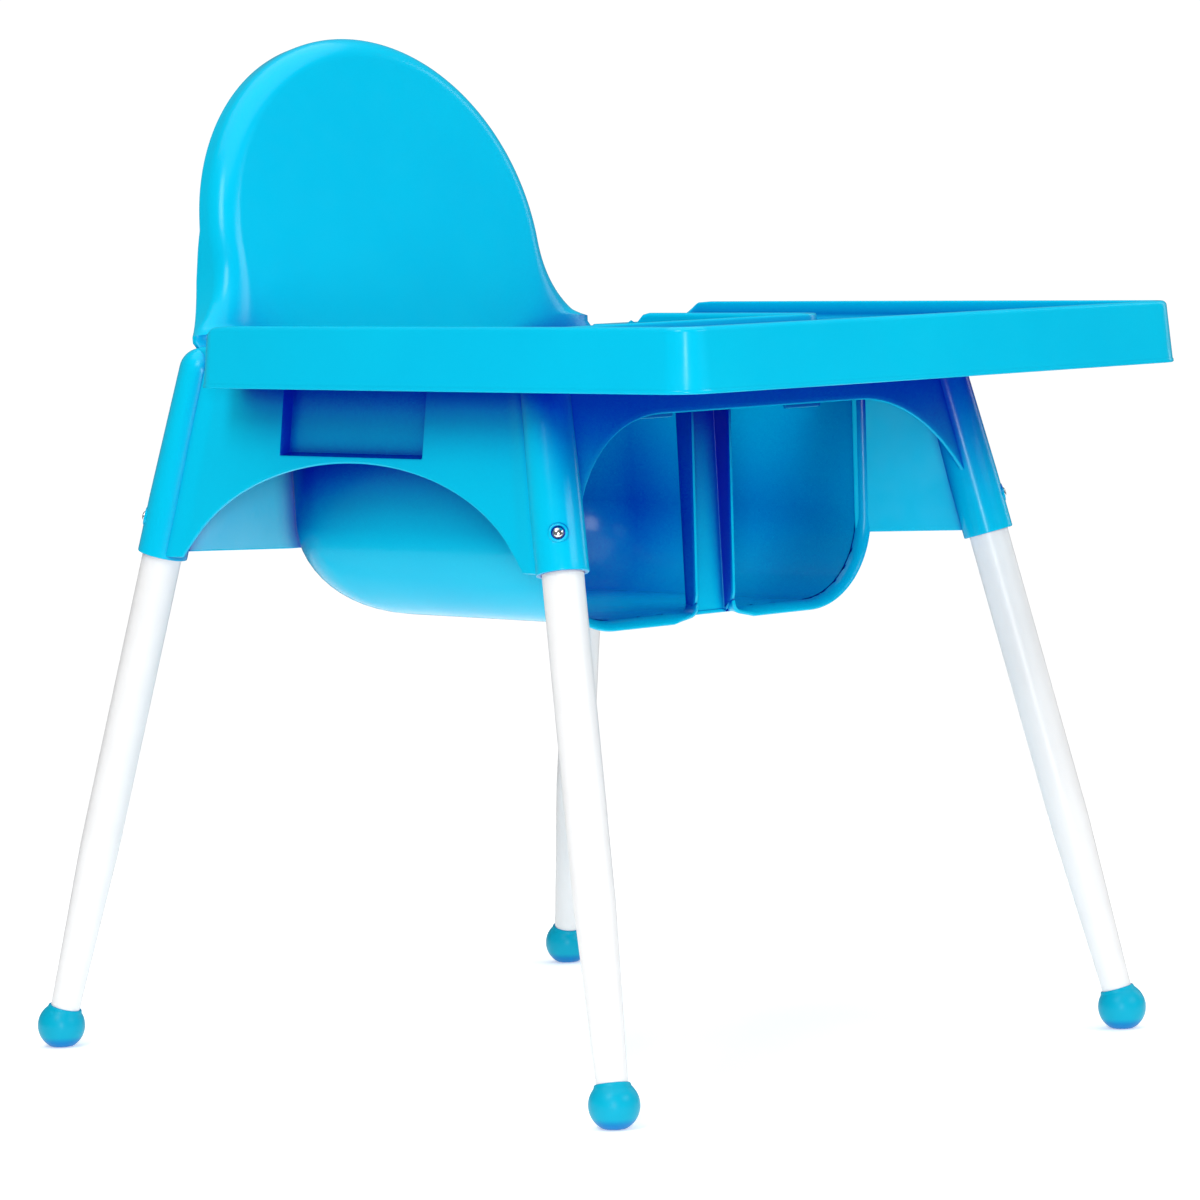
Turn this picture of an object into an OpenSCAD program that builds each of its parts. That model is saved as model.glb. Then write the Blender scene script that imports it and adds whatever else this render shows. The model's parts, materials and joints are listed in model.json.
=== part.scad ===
// Baby high chair: one moulded seat on four tube legs with ball feet, spring buttons that lock the
// legs in their sockets, and a lift-off tray. Millimetres, +Z up, the tray points to -Y.
// The origin is on the floor, at the middle of the chair's overall width and depth.

/* [Legs] */
// Half the distance between the feet across the chair
foot_x = 254; // [230:1:270]
// Half the distance between the feet from front to back
foot_y = 282; // [260:1:300]
// Height of a foot's centre above the floor
foot_z = 15; // [14:0.5:16]
// Radius of the ball foot
foot_r = 17; // [16:0.5:18]
// Radius of the leg tube in its socket
tube_r = 14; // [13.5:0.1:14]
// Radius of the leg tube at the foot
tube_end_r = 10.4; // [9.5:0.1:11]
// Wall of the leg tube
tube_wall = 1.2; // [1:0.1:1.5]
// Length of the tube's tapered stretch
taper_len = 120; // [80:5:160]

/* [Sockets] */
// Half the distance between the socket mouths across the chair
socket_x = 211; // [208:1:214]
// Half the distance between the socket mouths from front to back
socket_y = 203.5; // [200:0.5:207]
// Height of the socket mouths
socket_z = 353; // [345:1:360]
// Outer radius of a leg socket
socket_r = 17.75; // [17.5:0.25:19]
// Height of the socket's round top
socket_top_z = 499.5; // [497:0.5:500]
// Radial clearance between tube and socket
socket_gap = 0.08; // [0.05:0.01:0.1]

/* [Seat] */
// Height of the armrest deck
deck_z = 500; // [498:1:502]
// Wall thickness of the mouldings
wall = 3; // [2.5:0.1:3.5]
// Half the width of the seat bucket
bucket_x = 157; // [150:1:160]
// How far the bucket's open front lies ahead of the middle of the legs
bucket_front = 137; // [130:1:140]
// Height of the bucket's underside
bucket_z = 308; // [300:1:315]
// Radius of the bucket's long bottom edges
bucket_edge_r = 60; // [50:1:65]
// Radius of the bucket's rear bottom edge
bucket_heel_r = 70; // [60:1:80]
// Radius of the bucket's upright rear corners
bucket_corner_r = 70; // [60:1:80]
// Width of the crotch post
post_w = 40; // [36:1:46]
// Depth of the crotch post's side flanges
post_depth = 19; // [16:1:22]
// How far the lip around a leg opening stands proud of the bucket
lip_out = 6; // [4:0.5:7]

/* [Backrest] */
// Radius of the backrest's round top
back_r = 158.5; // [150:0.5:165]
// Length of the backrest, measured up its slope
back_len = 223.5; // [210:0.5:240]
// Depth of the flange around the top of the backrest
back_flange = 26; // [22:1:34]
// Angle by which the backrest leans backwards
back_lean = 12.8; // [10:0.1:14]
// Radius of the curves from the backrest into the armrests
back_flare_r = 60; // [50:1:60]

/* [Tray] */
// Half the width of the tray
tray_x = 249.5; // [244:0.5:255]
// Distance of the tray's front edge ahead of the middle of the legs
tray_front = 360.5; // [350:0.5:365]
// Distance of the tray's rear edge behind the middle of the legs
tray_rear = 122; // [115:1:125]
// Height of the tray's bottom edge
tray_z = 475; // [470:1:480]
// Height of the tray's rim
tray_top_z = 516.5; // [514:0.5:520]
// How much smaller the tray is at its rim than at its bottom edge
tray_draft = 4; // [2:0.5:5]
// Half the width of the cut-out for the child's body
cutout_x = 138; // [130:1:142]
// Distance of the cut-out's front edge ahead of the middle of the legs
cutout_front = 110; // [100:1:118]

/* [Button] */
// Radius of a leg-release button
button_r = 3.4; // [3:0.1:3.6]
// Height of the buttons
button_z = 377; // [370:1:384]
// How far a button stands proud of its socket
button_proud = 2; // [1:0.5:3]

/* [Hidden] */
$fn = 64;
corners = [
    ["front_left", -1, -1], ["front_right", 1, -1], ["rear_left", -1, 1], ["rear_right", 1, 1]
];

// The middle of the legs lies behind the origin, because the tray overhangs the front feet.
legs_y = (tray_front - foot_y - foot_r) / 2;

// Each leg leans inwards and up: its run, its lean and the length from foot to socket mouth.
leg_run = [socket_x - foot_x, socket_y - foot_y, socket_z - foot_z];
leg_to_mouth = norm(leg_run);
leg_lean = acos(leg_run.z / leg_to_mouth);
leg_turn = atan2(leg_run.y, leg_run.x);
slope_x = -leg_run.x / leg_run.z;
slope_y = -leg_run.y / leg_run.z;
function along_leg(z) = (z - foot_z) / cos(leg_lean);
socket_dome = along_leg(socket_top_z - socket_r);
leg_top = socket_dome - 6;
button_at = along_leg(button_z);
// A button points outwards at 45 degrees to the sides of the chair.
button_turn = atan2(sin(45 - leg_turn), cos(leg_lean) * cos(45 - leg_turn));
button_hole_r = button_r + 0.08;
button_tip = socket_r + button_proud;
button_flange_x = tube_r - tube_wall - 1.2;

// The skirts stand this far outside the socket axes and lean as the legs do.
skirt_out = 8;
function skirt_x(z) = socket_x + skirt_out - slope_x * (z - socket_z);
function skirt_y(z) = socket_y + skirt_out - slope_y * (z - socket_z);
arch_side = [180, 98, 325];
arch_front_z = 454;
arch_front_r = 104;
arch_front_x = 202;
recess_depth = 8;
recess_y = [-68, 75];
recess_z = 427;
tongue_x = 73.5;
tongue_w = 37;
tongue_y = -157;
tongue_t = 3;
tongue_z = 448.5;
gusset_z = 356;
gusset_ends = [[157, 128], [142.5, 142.5]];
far = 700;

// Where the backrest's front face meets the deck, and half its width there.
back_foot_y = 169;
back_half = skirt_x(deck_z) - 2;
// The centre line of the bucket's upright rear corners, and the lean of its rear wall.
bucket_corner_y = 102;
bucket_lean = 3;
lip_grow = lip_out / 2;
lip_depth = 7;

// The tray rests 0.3 mm above the deck. Its sides bow out, and its rim sinks to the floor at the rear.
tray_bow = 2;
tray_front_r = 24;
tray_rear_r = 18;
tray_floor_z = deck_z + 0.3;
tray_rim_end = 26;
cutout_rim_z = 511.5;
cutout_rim_end = 72;
cutout_r = 18;

function arc(cx, cy, rx, ry, a0, a1, n) =
    [for (i = [0:n]) let (a = a0 + (a1 - a0) * i / n) [cx + rx * cos(a), cy + ry * sin(a)]];

// Draws a front-view outline (x, z) along the whole depth.
module along_y(half = far) {
    rotate([90, 0, 0])
        linear_extrude(height = 2 * half, center = true)
            children();
}

// Draws a side-view outline (y, z) across the whole width.
module along_x(half = far) {
    rotate([90, 0, 90])
        linear_extrude(height = 2 * half, center = true)
            children();
}

module at_corner(sx, sy) {
    mirror([sx < 0 ? 1 : 0, 0, 0])
        mirror([0, sy < 0 ? 1 : 0, 0])
            translate([foot_x, foot_y, foot_z])
                rotate([0, leg_lean, leg_turn])
                    children();
}

module at_button(sx, sy) {
    at_corner(sx, sy)
        translate([0, 0, button_at])
            rotate([0, 0, button_turn])
                children();
}

// ---- Seat moulding ----

// The leaning block that the skirts enclose, with its faces moved inwards by inset.
module skirt_block(inset, z0, z1) {
    intersection() {
        along_y() polygon([
            [-skirt_x(z0) + inset, z0], [skirt_x(z0) - inset, z0],
            [skirt_x(z1) - inset, z1], [-skirt_x(z1) + inset, z1]
        ]);
        along_x() polygon([
            [-skirt_y(z0) + inset, z0], [skirt_y(z0) - inset, z0],
            [skirt_y(z1) - inset, z1], [-skirt_y(z1) + inset, z1]
        ]);
    }
}

module recess_band(grow) {
    translate([-far, recess_y[0] - grow, recess_z - grow])
        cube([2 * far, recess_y[1] - recess_y[0] + 2 * grow, deck_z - recess_z + 20]);
}

module arch_cutters() {
    along_x()
        polygon(concat(
            arc(0, arch_side[2], arch_side[0], arch_side[1], 0, 180, 30),
            [[-arch_side[0], bucket_z - 20], [arch_side[0], bucket_z - 20]]
        ));
    along_y() {
        for (side = [-1, 1])
            translate([side * (arch_front_x - arch_front_r), arch_front_z - arch_front_r])
                circle(r = arch_front_r, $fn = 96);
        translate([arch_front_r - arch_front_x, arch_front_z - 2 * arch_front_r])
            square([2 * (arch_front_x - arch_front_r), 2 * arch_front_r]);
        translate([-arch_front_x, bucket_z - 20])
            square([2 * arch_front_x, arch_front_z - arch_front_r - bucket_z + 20]);
    }
}

module skirts() {
    difference() {
        skirt_block(0, socket_z, deck_z);
        difference() {
            skirt_block(wall, socket_z - 1, deck_z - wall);
            difference() {
                recess_band(wall);
                skirt_block(recess_depth + wall, socket_z - 2, deck_z + 1);
            }
        }
        difference() {
            recess_band(0);
            skirt_block(recess_depth, socket_z - 2, deck_z + 30);
        }
        arch_cutters();
    }
}

// The bucket as a closed block: front view, side view and plan, with its faces moved in by inset.
module bucket_block(inset, front, top) {
    half = bucket_x - inset;
    low = bucket_z + inset;
    edge = bucket_edge_r - inset;
    heel = bucket_heel_r - inset;
    corner = bucket_corner_r - inset;
    rear_top = back_foot_y - inset + wall;
    rear_low = rear_top - (deck_z - bucket_z - bucket_heel_r) * tan(bucket_lean);
    intersection() {
        along_y() {
            translate([-half, low + edge]) square([2 * half, top - low - edge]);
            translate([-half + edge, low]) square([2 * (half - edge), edge + 1]);
            for (side = [-1, 1])
                translate([side * (half - edge), low + edge])
                    circle(r = edge);
        }
        along_x()
            polygon(concat(
                [[-front, top], [-front, low]],
                arc(rear_low - heel, low + heel, heel, heel, -90, 0, 12),
                [[rear_top + (top - deck_z) * tan(bucket_lean), top]]
            ));
        linear_extrude(height = far) {
            translate([-half, -far]) square([2 * half, far + bucket_corner_y]);
            for (side = [-1, 1])
                translate([side * (half - corner), bucket_corner_y])
                    circle(r = corner, $fn = 96);
            translate([-half + corner, 0]) square([2 * (half - corner), bucket_corner_y + corner]);
        }
    }
}

// The bucket before it is hollowed, with the lip that stands proud around its open front
module bucket_solid() {
    bucket_block(0, bucket_front, deck_z);
    intersection() {
        bucket_block(-lip_grow, bucket_front, deck_z);
        translate([-far, -bucket_front, 0]) cube([2 * far, lip_depth, deck_z - wall]);
    }
}

module bucket() {
    difference() {
        bucket_solid();
        bucket_block(wall, bucket_front + 10, deck_z + 1);
        // The notch between the two leg openings' lips
        translate([-post_w / 2 + wall, -bucket_front - 1, bucket_z - 20])
            cube([post_w - 2 * wall, lip_depth + 2, 20]);
    }
}

module crotch_post() {
    for (side = [-1, 1])
        translate([side * (post_w - wall) / 2 - wall / 2, -bucket_front, bucket_z + 1])
            cube([wall, post_depth, deck_z - bucket_z - 2]);
    along_x(post_w / 2)
        polygon([
            [-bucket_front + 8, bucket_z], [-bucket_front + 8 + wall, bucket_z],
            [-bucket_front + post_depth, deck_z - 1], [-bucket_front + post_depth - wall, deck_z - 1]
        ]);
}

// Upright webs from the leg sockets to the corners of the bucket
module gussets() {
    intersection() {
        skirt_block(wall / 2, gusset_z - 1, deck_z);
        for (side = [-1, 1]) for (rear = [0, 1])
            mirror([side < 0 ? 1 : 0, 0, 0])
                mirror([0, 1 - rear, 0])
                    gusset(gusset_ends[rear] - [socket_x, socket_y]);
    }
}

module gusset(run) {
    translate([socket_x, socket_y, gusset_z])
        rotate([0, 0, atan2(run.y, run.x)])
            translate([6, -wall / 2, 0])
                cube([norm(run) - 4, wall, deck_z - wall - gusset_z + 1]);
}

module socket_bodies() {
    for (c = corners)
        at_corner(c[1], c[2]) {
            translate([0, 0, leg_to_mouth])
                cylinder(r = socket_r, h = socket_dome - leg_to_mouth);
            translate([0, 0, socket_dome])
                sphere(r = socket_r);
        }
}

module socket_bores() {
    for (c = corners) {
        at_corner(c[1], c[2])
            translate([0, 0, leg_to_mouth - 30])
                cylinder(r = tube_r + socket_gap, h = leg_top + 30 - leg_to_mouth);
        at_button(c[1], c[2])
            rotate([0, 90, 0])
                cylinder(r = button_hole_r, h = 2 * socket_r);
    }
}

// The backrest's outline in its own plane: a round top on two flared sides
module back_outline(inset) {
    knee = back_len - back_r;
    half = back_half - inset;
    below = 10;
    intersection() {
        union() {
            translate([0, knee]) circle(r = back_r - inset, $fn = 128);
            difference() {
                translate([-half, -below]) square([2 * half, knee + below]);
                for (side = [-1, 1])
                    translate([side * (back_r + back_flare_r), knee])
                        circle(r = back_flare_r + inset, $fn = 96);
            }
        }
        translate([-half, -below]) square([2 * half, back_len + below]);
    }
}

// A leaning slab of that outline, from z0 upwards, between two depths behind the front face
module back_slab(inset, z0, depth0, depth1) {
    intersection() {
        translate([0, back_foot_y, deck_z])
            rotate([90 - back_lean, 0, 0])
                translate([0, 0, -depth1])
                    linear_extrude(height = depth1 - depth0)
                        back_outline(inset);
        translate([-far, -far, z0]) cube([2 * far, 2 * far, far]);
    }
}

// The backrest's rear edge at a height, as it leans
function back_rear(z) = back_foot_y + back_flange / cos(back_lean) + (z - deck_z) * tan(back_lean);

// Side view of the space that the backrest keeps to: its flange sweeps up and back from the deck
module back_side_view() {
    rear = skirt_y(deck_z);
    top = deck_z + far;
    along_x()
        polygon([
            [-far, deck_z], [rear, deck_z], [rear + 17, deck_z + 8], [rear + 29, deck_z + 17],
            [rear + 36, deck_z + 29], [rear + 40, deck_z + 43], [back_rear(deck_z + 90), deck_z + 90],
            [back_rear(top), top], [-far, top]
        ]);
}

module seat_backrest() {
    sweep = 14;
    color("deepskyblue")
        intersection() {
            difference() {
                back_slab(0, deck_z, 0, back_flange + sweep);
                back_slab(wall, deck_z + wall, wall, back_flange + sweep + 1);
            }
            back_side_view();
        }
}

module tongue_slots() {
    for (side = [-1, 1])
        translate([side * tongue_x - tongue_w / 2 - 1, tongue_y - 1, deck_z - 10])
            cube([tongue_w + 2, tongue_t + 2, 20]);
}

module seat_bucket() {
    color("deepskyblue") {
        bucket();
        crotch_post();
    }
}

module seat_rim() {
    color("deepskyblue")
        difference() {
            union() {
                skirts();
                gussets();
                socket_bodies();
            }
            bucket_solid();
            bucket_block(0, bucket_front, deck_z + 1);
            socket_bores();
            tongue_slots();
        }
}

// ---- Tray ----

// One level of the tray's outline: gently bowed sides and round corners
module tray_outline(inset) {
    half = tray_x - inset;
    front = tray_front - inset;
    rear = tray_rear - inset;
    side_x = half - tray_bow;
    nose_y = -front + tray_bow;
    side_run = rear - tray_rear_r - nose_y - tray_front_r;
    nose_run = 2 * (side_x - tray_front_r);
    steps = [for (i = [1:7]) i / 8];
    polygon(concat(
        arc(side_x - tray_rear_r, rear - tray_rear_r, tray_rear_r, tray_rear_r, 0, 90, 8),
        arc(tray_rear_r - side_x, rear - tray_rear_r, tray_rear_r, tray_rear_r, 90, 180, 8),
        [for (t = steps) [-side_x - bowed(t), rear - tray_rear_r - side_run * t]],
        arc(tray_front_r - side_x, nose_y + tray_front_r, tray_front_r, tray_front_r, 180, 270, 8),
        [for (t = steps) [tray_front_r - side_x + nose_run * t, nose_y - bowed(t)]],
        arc(side_x - tray_front_r, nose_y + tray_front_r, tray_front_r, tray_front_r, 270, 360, 8),
        [for (t = steps) [side_x + bowed(t), nose_y + tray_front_r + side_run * t]]
    ));
}
function bowed(t) = tray_bow * 4 * t * (1 - t);

module tray_block(inset, z0, z1) {
    level = tray_draft / (tray_top_z - tray_z);
    hull() {
        translate([0, 0, z0])
            linear_extrude(height = 0.01) tray_outline(inset + level * (z0 - tray_z));
        translate([0, 0, z1 - 0.01])
            linear_extrude(height = 0.01) tray_outline(inset + level * (z1 - tray_z));
    }
}

module cutout(grow, z0, z1) {
    r = cutout_r + grow;
    half = cutout_x + grow;
    front = cutout_front + grow;
    translate([0, 0, z0])
        linear_extrude(height = z1 - z0) {
            translate([-half, -front + r]) square([2 * half, tray_rear + front - r + 20]);
            translate([-half + r, -front]) square([2 * (half - r), 2 * r]);
            for (side = [-1, 1])
                translate([side * (half - r), -front + r]) circle(r = r);
        }
}

// The space above the rim where it curves down to the tray's rear edge
module tray_rim_ends() {
    floor_top = tray_floor_z + wall;
    along_x()
        polygon(concat(
            arc(tray_rear - tray_rim_end, floor_top, tray_rim_end, tray_top_z - floor_top, 90, 0, 8),
            [[tray_rear + 1, floor_top], [tray_rear + 1, tray_top_z + 1],
             [tray_rear - tray_rim_end, tray_top_z + 1]]
        ));
}

module tray() {
    color("deepskyblue") {
        difference() {
            union() {
                difference() {
                    tray_block(0, tray_z, tray_top_z);
                    tray_block(wall, tray_z - 1, tray_floor_z);
                    tray_block(wall, tray_floor_z + wall, tray_top_z + 1);
                }
                intersection() {
                    cutout(wall, tray_floor_z, cutout_rim_z);
                    translate([-far, -far, 0]) cube([2 * far, far + cutout_rim_end, far]);
                }
            }
            cutout(0, tray_z - 2, tray_top_z + 2);
            tray_rim_ends();
            // The armrests pass under the tray's rear edge here
            translate([-skirt_x(tray_z) - 3, tray_rear - 2 * wall, tray_z - 1])
                cube([2 * skirt_x(tray_z) + 6, 3 * wall, tray_floor_z - tray_z + 1]);
        }
        // Tongues that drop through the front rail's slots and into the side recesses
        for (side = [-1, 1]) {
            translate([side * tongue_x - tongue_w / 2, tongue_y, tongue_z])
                cube([tongue_w, tongue_t, tray_floor_z - tongue_z + 1]);
            translate([side * (skirt_x(deck_z) - 2.5) - tongue_t / 2, -30, tray_z])
                cube([tongue_t, 60, tray_floor_z - tray_z + 1]);
        }
    }
}

// ---- Legs, feet, buttons and their springs ----

module leg(sx, sy) {
    cone_start = tube_end_r;
    color("white")
        difference() {
            at_corner(sx, sy)
                rotate_extrude()
                    polygon([
                        [tube_end_r - tube_wall, -4], [tube_end_r, -4], [tube_end_r, cone_start],
                        [tube_r, cone_start + taper_len], [tube_r, leg_top - 1],
                        [tube_r - tube_wall, leg_top - 1], [tube_r - tube_wall, cone_start + taper_len],
                        [tube_end_r - tube_wall, cone_start]
                    ]);
            at_button(sx, sy)
                rotate([0, 90, 0])
                    cylinder(r = button_hole_r, h = 2 * socket_r);
        }
}

module foot(sx, sy) {
    color("dodgerblue")
        difference() {
            intersection() {
                at_corner(sx, sy) sphere(r = foot_r, $fn = 96);
                translate([-far, -far, 0]) cube([2 * far, 2 * far, far]);
                at_corner(sx, sy) translate([-far, -far, -far]) cube([2 * far, 2 * far, far + foot_r - 5]);
            }
            at_corner(sx, sy)
                translate([0, 0, -4])
                    cylinder(r = tube_end_r + 0.05, h = 40);
        }
}

// A domed pin with a flange that rests against the inside of the tube
module button(sx, sy) {
    dome = 1.4;
    color("silver")
        at_button(sx, sy)
            rotate([0, 90, 0])
                rotate_extrude()
                    polygon(concat(
                        [[0, button_flange_x - 1], [button_r + 1.6, button_flange_x - 1],
                         [button_r + 1.6, button_flange_x], [button_r, button_flange_x]],
                        arc(0, button_tip - dome, button_r, dome, 0, 90, 8)
                    ));
}

// A bent strip: one arm behind the button's flange, the other against the far side of the tube
module button_spring(sx, sy) {
    strip = 0.7;
    near = button_flange_x - 1.1;
    back = -tube_r + tube_wall + 0.8;
    reach = 34;
    color("silver")
        at_button(sx, sy)
            translate([0, 4, 0])
                rotate([90, 0, 0])
                    linear_extrude(height = 8)
                        polygon([
                            [near, -8], [near, 8], [1.5, reach], [-1.5, reach], [back, 8], [back, -8],
                            [back + strip, -8], [back + strip, 8], [-1, reach - strip - 1],
                            [1, reach - strip - 1], [near - strip, 8], [near - strip, -8]
                        ]);
}

module placed() {
    translate([0, legs_y, 0]) children();
}

placed() seat_bucket();
placed() seat_rim();
placed() seat_backrest();
placed() tray();
for (c = corners) {
    placed() leg(c[1], c[2]);
    placed() foot(c[1], c[2]);
    placed() button(c[1], c[2]);
    placed() button_spring(c[1], c[2]);
}
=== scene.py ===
"""Looks of the baby high chair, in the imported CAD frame.

The mouldings and feet are detailed meshes that stand in for plainer CAD nodes. The legs, buttons and
springs are the CAD nodes themselves. Every shape is worked out in millimetres, with y = 0 midway
between the legs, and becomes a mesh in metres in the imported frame.
"""

import json
import math

import bmesh
import bpy
import numpy as np
from mathutils import Matrix, Vector

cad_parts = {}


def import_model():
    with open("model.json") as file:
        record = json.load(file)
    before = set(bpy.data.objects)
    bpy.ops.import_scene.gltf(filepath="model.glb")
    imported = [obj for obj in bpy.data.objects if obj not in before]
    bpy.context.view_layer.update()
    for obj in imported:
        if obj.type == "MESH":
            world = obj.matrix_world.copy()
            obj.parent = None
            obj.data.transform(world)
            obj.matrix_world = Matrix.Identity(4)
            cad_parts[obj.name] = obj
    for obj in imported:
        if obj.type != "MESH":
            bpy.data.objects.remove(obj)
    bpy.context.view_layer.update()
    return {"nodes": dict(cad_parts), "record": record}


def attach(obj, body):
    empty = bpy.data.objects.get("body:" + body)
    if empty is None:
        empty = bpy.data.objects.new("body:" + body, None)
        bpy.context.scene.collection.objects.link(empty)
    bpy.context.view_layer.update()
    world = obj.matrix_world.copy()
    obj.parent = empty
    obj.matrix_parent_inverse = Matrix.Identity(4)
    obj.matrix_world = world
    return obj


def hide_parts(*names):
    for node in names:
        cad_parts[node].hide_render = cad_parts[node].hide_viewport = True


MM = 0.001
LEGS_Y = 30.75

# Legs and sockets
FOOT = np.array([254.0, 282.0, 15.0])
MOUTH = np.array([211.0, 203.5, 353.0])
FOOT_R = 17.0
TUBE_R = 14.0
TUBE_END_R = 10.4
TUBE_PLAY = 0.15
SOCKET_R = 17.75
SOCKET_TOP = 499.5
SOCKET_DRAFT = 1.6
BUTTON_Z = 377.0
BUTTON_R = 3.4
CORNERS = {
    "front_left": (-1, -1),
    "front_right": (1, -1),
    "rear_left": (-1, 1),
    "rear_right": (1, 1),
}

# Seat moulding
DECK = 500.0
WALL = 3.0
SKIRT_OUT = 8.0
SLOPE_X, SLOPE_Y = (FOOT[:2] - MOUTH[:2]) / (MOUTH[2] - FOOT[2])

# Backrest
LEAN = math.radians(12.8)

# Tray
TRAY_X = 249.5
TRAY_FRONT = 360.5
TRAY_REAR = 122.0
TRAY_BOTTOM = 475.0
TRAY_TOP = 516.5


def skirt_x(z):
    return MOUTH[0] + SKIRT_OUT - SLOPE_X * (z - MOUTH[2])


def skirt_y(z):
    return MOUTH[1] + SKIRT_OUT - SLOPE_Y * (z - MOUTH[2])


# ---- Materials ----

# Each plastic's painted shade colour for its hollows, and the two colours of its flow mottling
BLUE = ((0.0, 0.012, 0.4, 1), (0.0, 0.48, 0.73, 1), (0.0, 0.51, 0.75, 1))
FOOT_BLUE = ((0.0, 0.2, 0.5, 1), (0.0, 0.34, 0.5, 1), (0.0, 0.37, 0.54, 1))
# Ambient occlusion values between which the painted shade fades into the plastic's own colour
PAINTED_SHADE_AO = (0.47, 0.86)


def new_material(name):
    mat = bpy.data.materials.new(name)
    mat.use_nodes = True
    nodes = mat.node_tree.nodes
    return mat, nodes, mat.node_tree.links, nodes["Principled BSDF"]


def noise(nodes, links, scale, detail):
    tex = nodes.new("ShaderNodeTexNoise")
    tex.inputs["Scale"].default_value = scale
    tex.inputs["Detail"].default_value = detail
    coords = nodes.new("ShaderNodeTexCoord").outputs["Object"]
    links.new(coords, tex.inputs["Vector"])
    return tex.outputs["Fac"]


def ramp(nodes, links, factor, low, high, lo_at=0.3, hi_at=0.7):
    node = nodes.new("ShaderNodeValToRGB")
    node.color_ramp.elements[0].position = lo_at
    node.color_ramp.elements[1].position = hi_at
    node.color_ramp.elements[0].color = low
    node.color_ramp.elements[1].color = high
    links.new(factor, node.inputs["Fac"])
    return node.outputs["Color"]


def grey(v):
    return (v, v, v, 1.0)


def add_bump(nodes, links, bsdf, height, strength, distance):
    node = nodes.new("ShaderNodeBump")
    node.inputs["Strength"].default_value = strength
    node.inputs["Distance"].default_value = distance
    links.new(height, node.inputs["Height"])
    links.new(node.outputs["Normal"], bsdf.inputs["Normal"])


def moulded_plastic(name, colours, rough, grain, reach):
    """Glossy moulding: faint flow mottling and an orange-peel surface. Shade is painted into the colour:
    surfaces that ambient occlusion finds enclosed within reach are painted a deeper blue."""
    deep, low, high = colours
    mat, nodes, links, bsdf = new_material(name)
    flow = ramp(nodes, links, noise(nodes, links, 9.0, 2.0), low, high)
    # Painted shade: an ambient occlusion mask mixes the deep blue into hollows.
    hollow = nodes.new("ShaderNodeAmbientOcclusion")
    hollow.inputs["Distance"].default_value = reach
    hollow.samples = 8
    open_air = ramp(nodes, links, hollow.outputs["AO"], grey(0), grey(1), *PAINTED_SHADE_AO)
    mix = nodes.new("ShaderNodeMix")
    mix.data_type = "RGBA"
    mix.inputs["A"].default_value = deep
    links.new(open_air, mix.inputs["Factor"])
    links.new(flow, mix.inputs["B"])
    links.new(mix.outputs["Result"], bsdf.inputs["Base Color"])
    patch = noise(nodes, links, 60.0, 4.0)
    links.new(
        ramp(nodes, links, patch, grey(rough), grey(rough + 0.07)), bsdf.inputs["Roughness"]
    )
    add_bump(nodes, links, bsdf, noise(nodes, links, 380.0, 2.0), grain, 0.00025)
    bsdf.inputs["IOR"].default_value = 1.4
    bsdf.inputs["Specular IOR Level"].default_value = 0.2
    return mat


def powder_coat(name):
    mat, nodes, links, bsdf = new_material(name)
    tone = noise(nodes, links, 30.0, 2.0)
    links.new(ramp(nodes, links, tone, grey(0.79), grey(0.82)), bsdf.inputs["Base Color"])
    patch = noise(nodes, links, 200.0, 3.0)
    links.new(ramp(nodes, links, patch, grey(0.3), grey(0.42)), bsdf.inputs["Roughness"])
    add_bump(nodes, links, bsdf, noise(nodes, links, 900.0, 2.0), 0.25, 0.0002)
    return mat


def steel(name, colour, low, high):
    mat, nodes, links, bsdf = new_material(name)
    tone = noise(nodes, links, 120.0, 3.0)
    dark = tuple(0.85 * c for c in colour[:3]) + (1.0,)
    links.new(ramp(nodes, links, tone, dark, colour), bsdf.inputs["Base Color"])
    bsdf.inputs["Metallic"].default_value = 1.0
    patch = noise(nodes, links, 700.0, 3.0)
    links.new(ramp(nodes, links, patch, grey(low), grey(high)), bsdf.inputs["Roughness"])
    add_bump(nodes, links, bsdf, patch, 0.15, 0.0001)
    return mat


def floor_paint(name):
    mat, nodes, links, bsdf = new_material(name)
    tone = noise(nodes, links, 2.0, 2.0)
    links.new(ramp(nodes, links, tone, grey(0.9), grey(0.92)), bsdf.inputs["Base Color"])
    bsdf.inputs["Roughness"].default_value = 0.9
    bsdf.inputs["Specular IOR Level"].default_value = 0.1
    bsdf.inputs["Emission Color"].default_value = (1, 1, 1, 1)
    bsdf.inputs["Emission Strength"].default_value = 0.44
    return mat


def make_materials():
    return {
        # Each plastic paints shade into its hollows: within 0.2 m for the main moulding, 0.02 m for the
        # tray and gussets, 0.01 m for the feet.
        "blue_plastic": moulded_plastic("blue_plastic", BLUE, rough=0.16, grain=0.12, reach=0.2),
        "short_shade_plastic": moulded_plastic("short_shade_plastic", BLUE, rough=0.18, grain=0.12, reach=0.02),
        "foot_plastic": moulded_plastic("foot_plastic", FOOT_BLUE, rough=0.3, grain=0.2, reach=0.01),
        "white_paint": powder_coat("white_paint"),
        "bright_steel": steel("bright_steel", (0.82, 0.82, 0.84, 1), 0.08, 0.2),
        "spring_steel": steel("spring_steel", (0.55, 0.56, 0.58, 1), 0.25, 0.4),
        "floor": floor_paint("floor"),
    }


# ---- Camera, light and floor ----

# Azimuth, downward tilt and roll in degrees, and place in metres
CAMERA_TURN = (-44.5, 4.47, -1.54)
CAMERA_AT = (-2.71733, -2.7574, 0.61689)
LIGHT_AIM = (0, 0, 0.42)
FLOOR_RADIUS = 1.35
FLOOR_GAP = 0.0005
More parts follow.
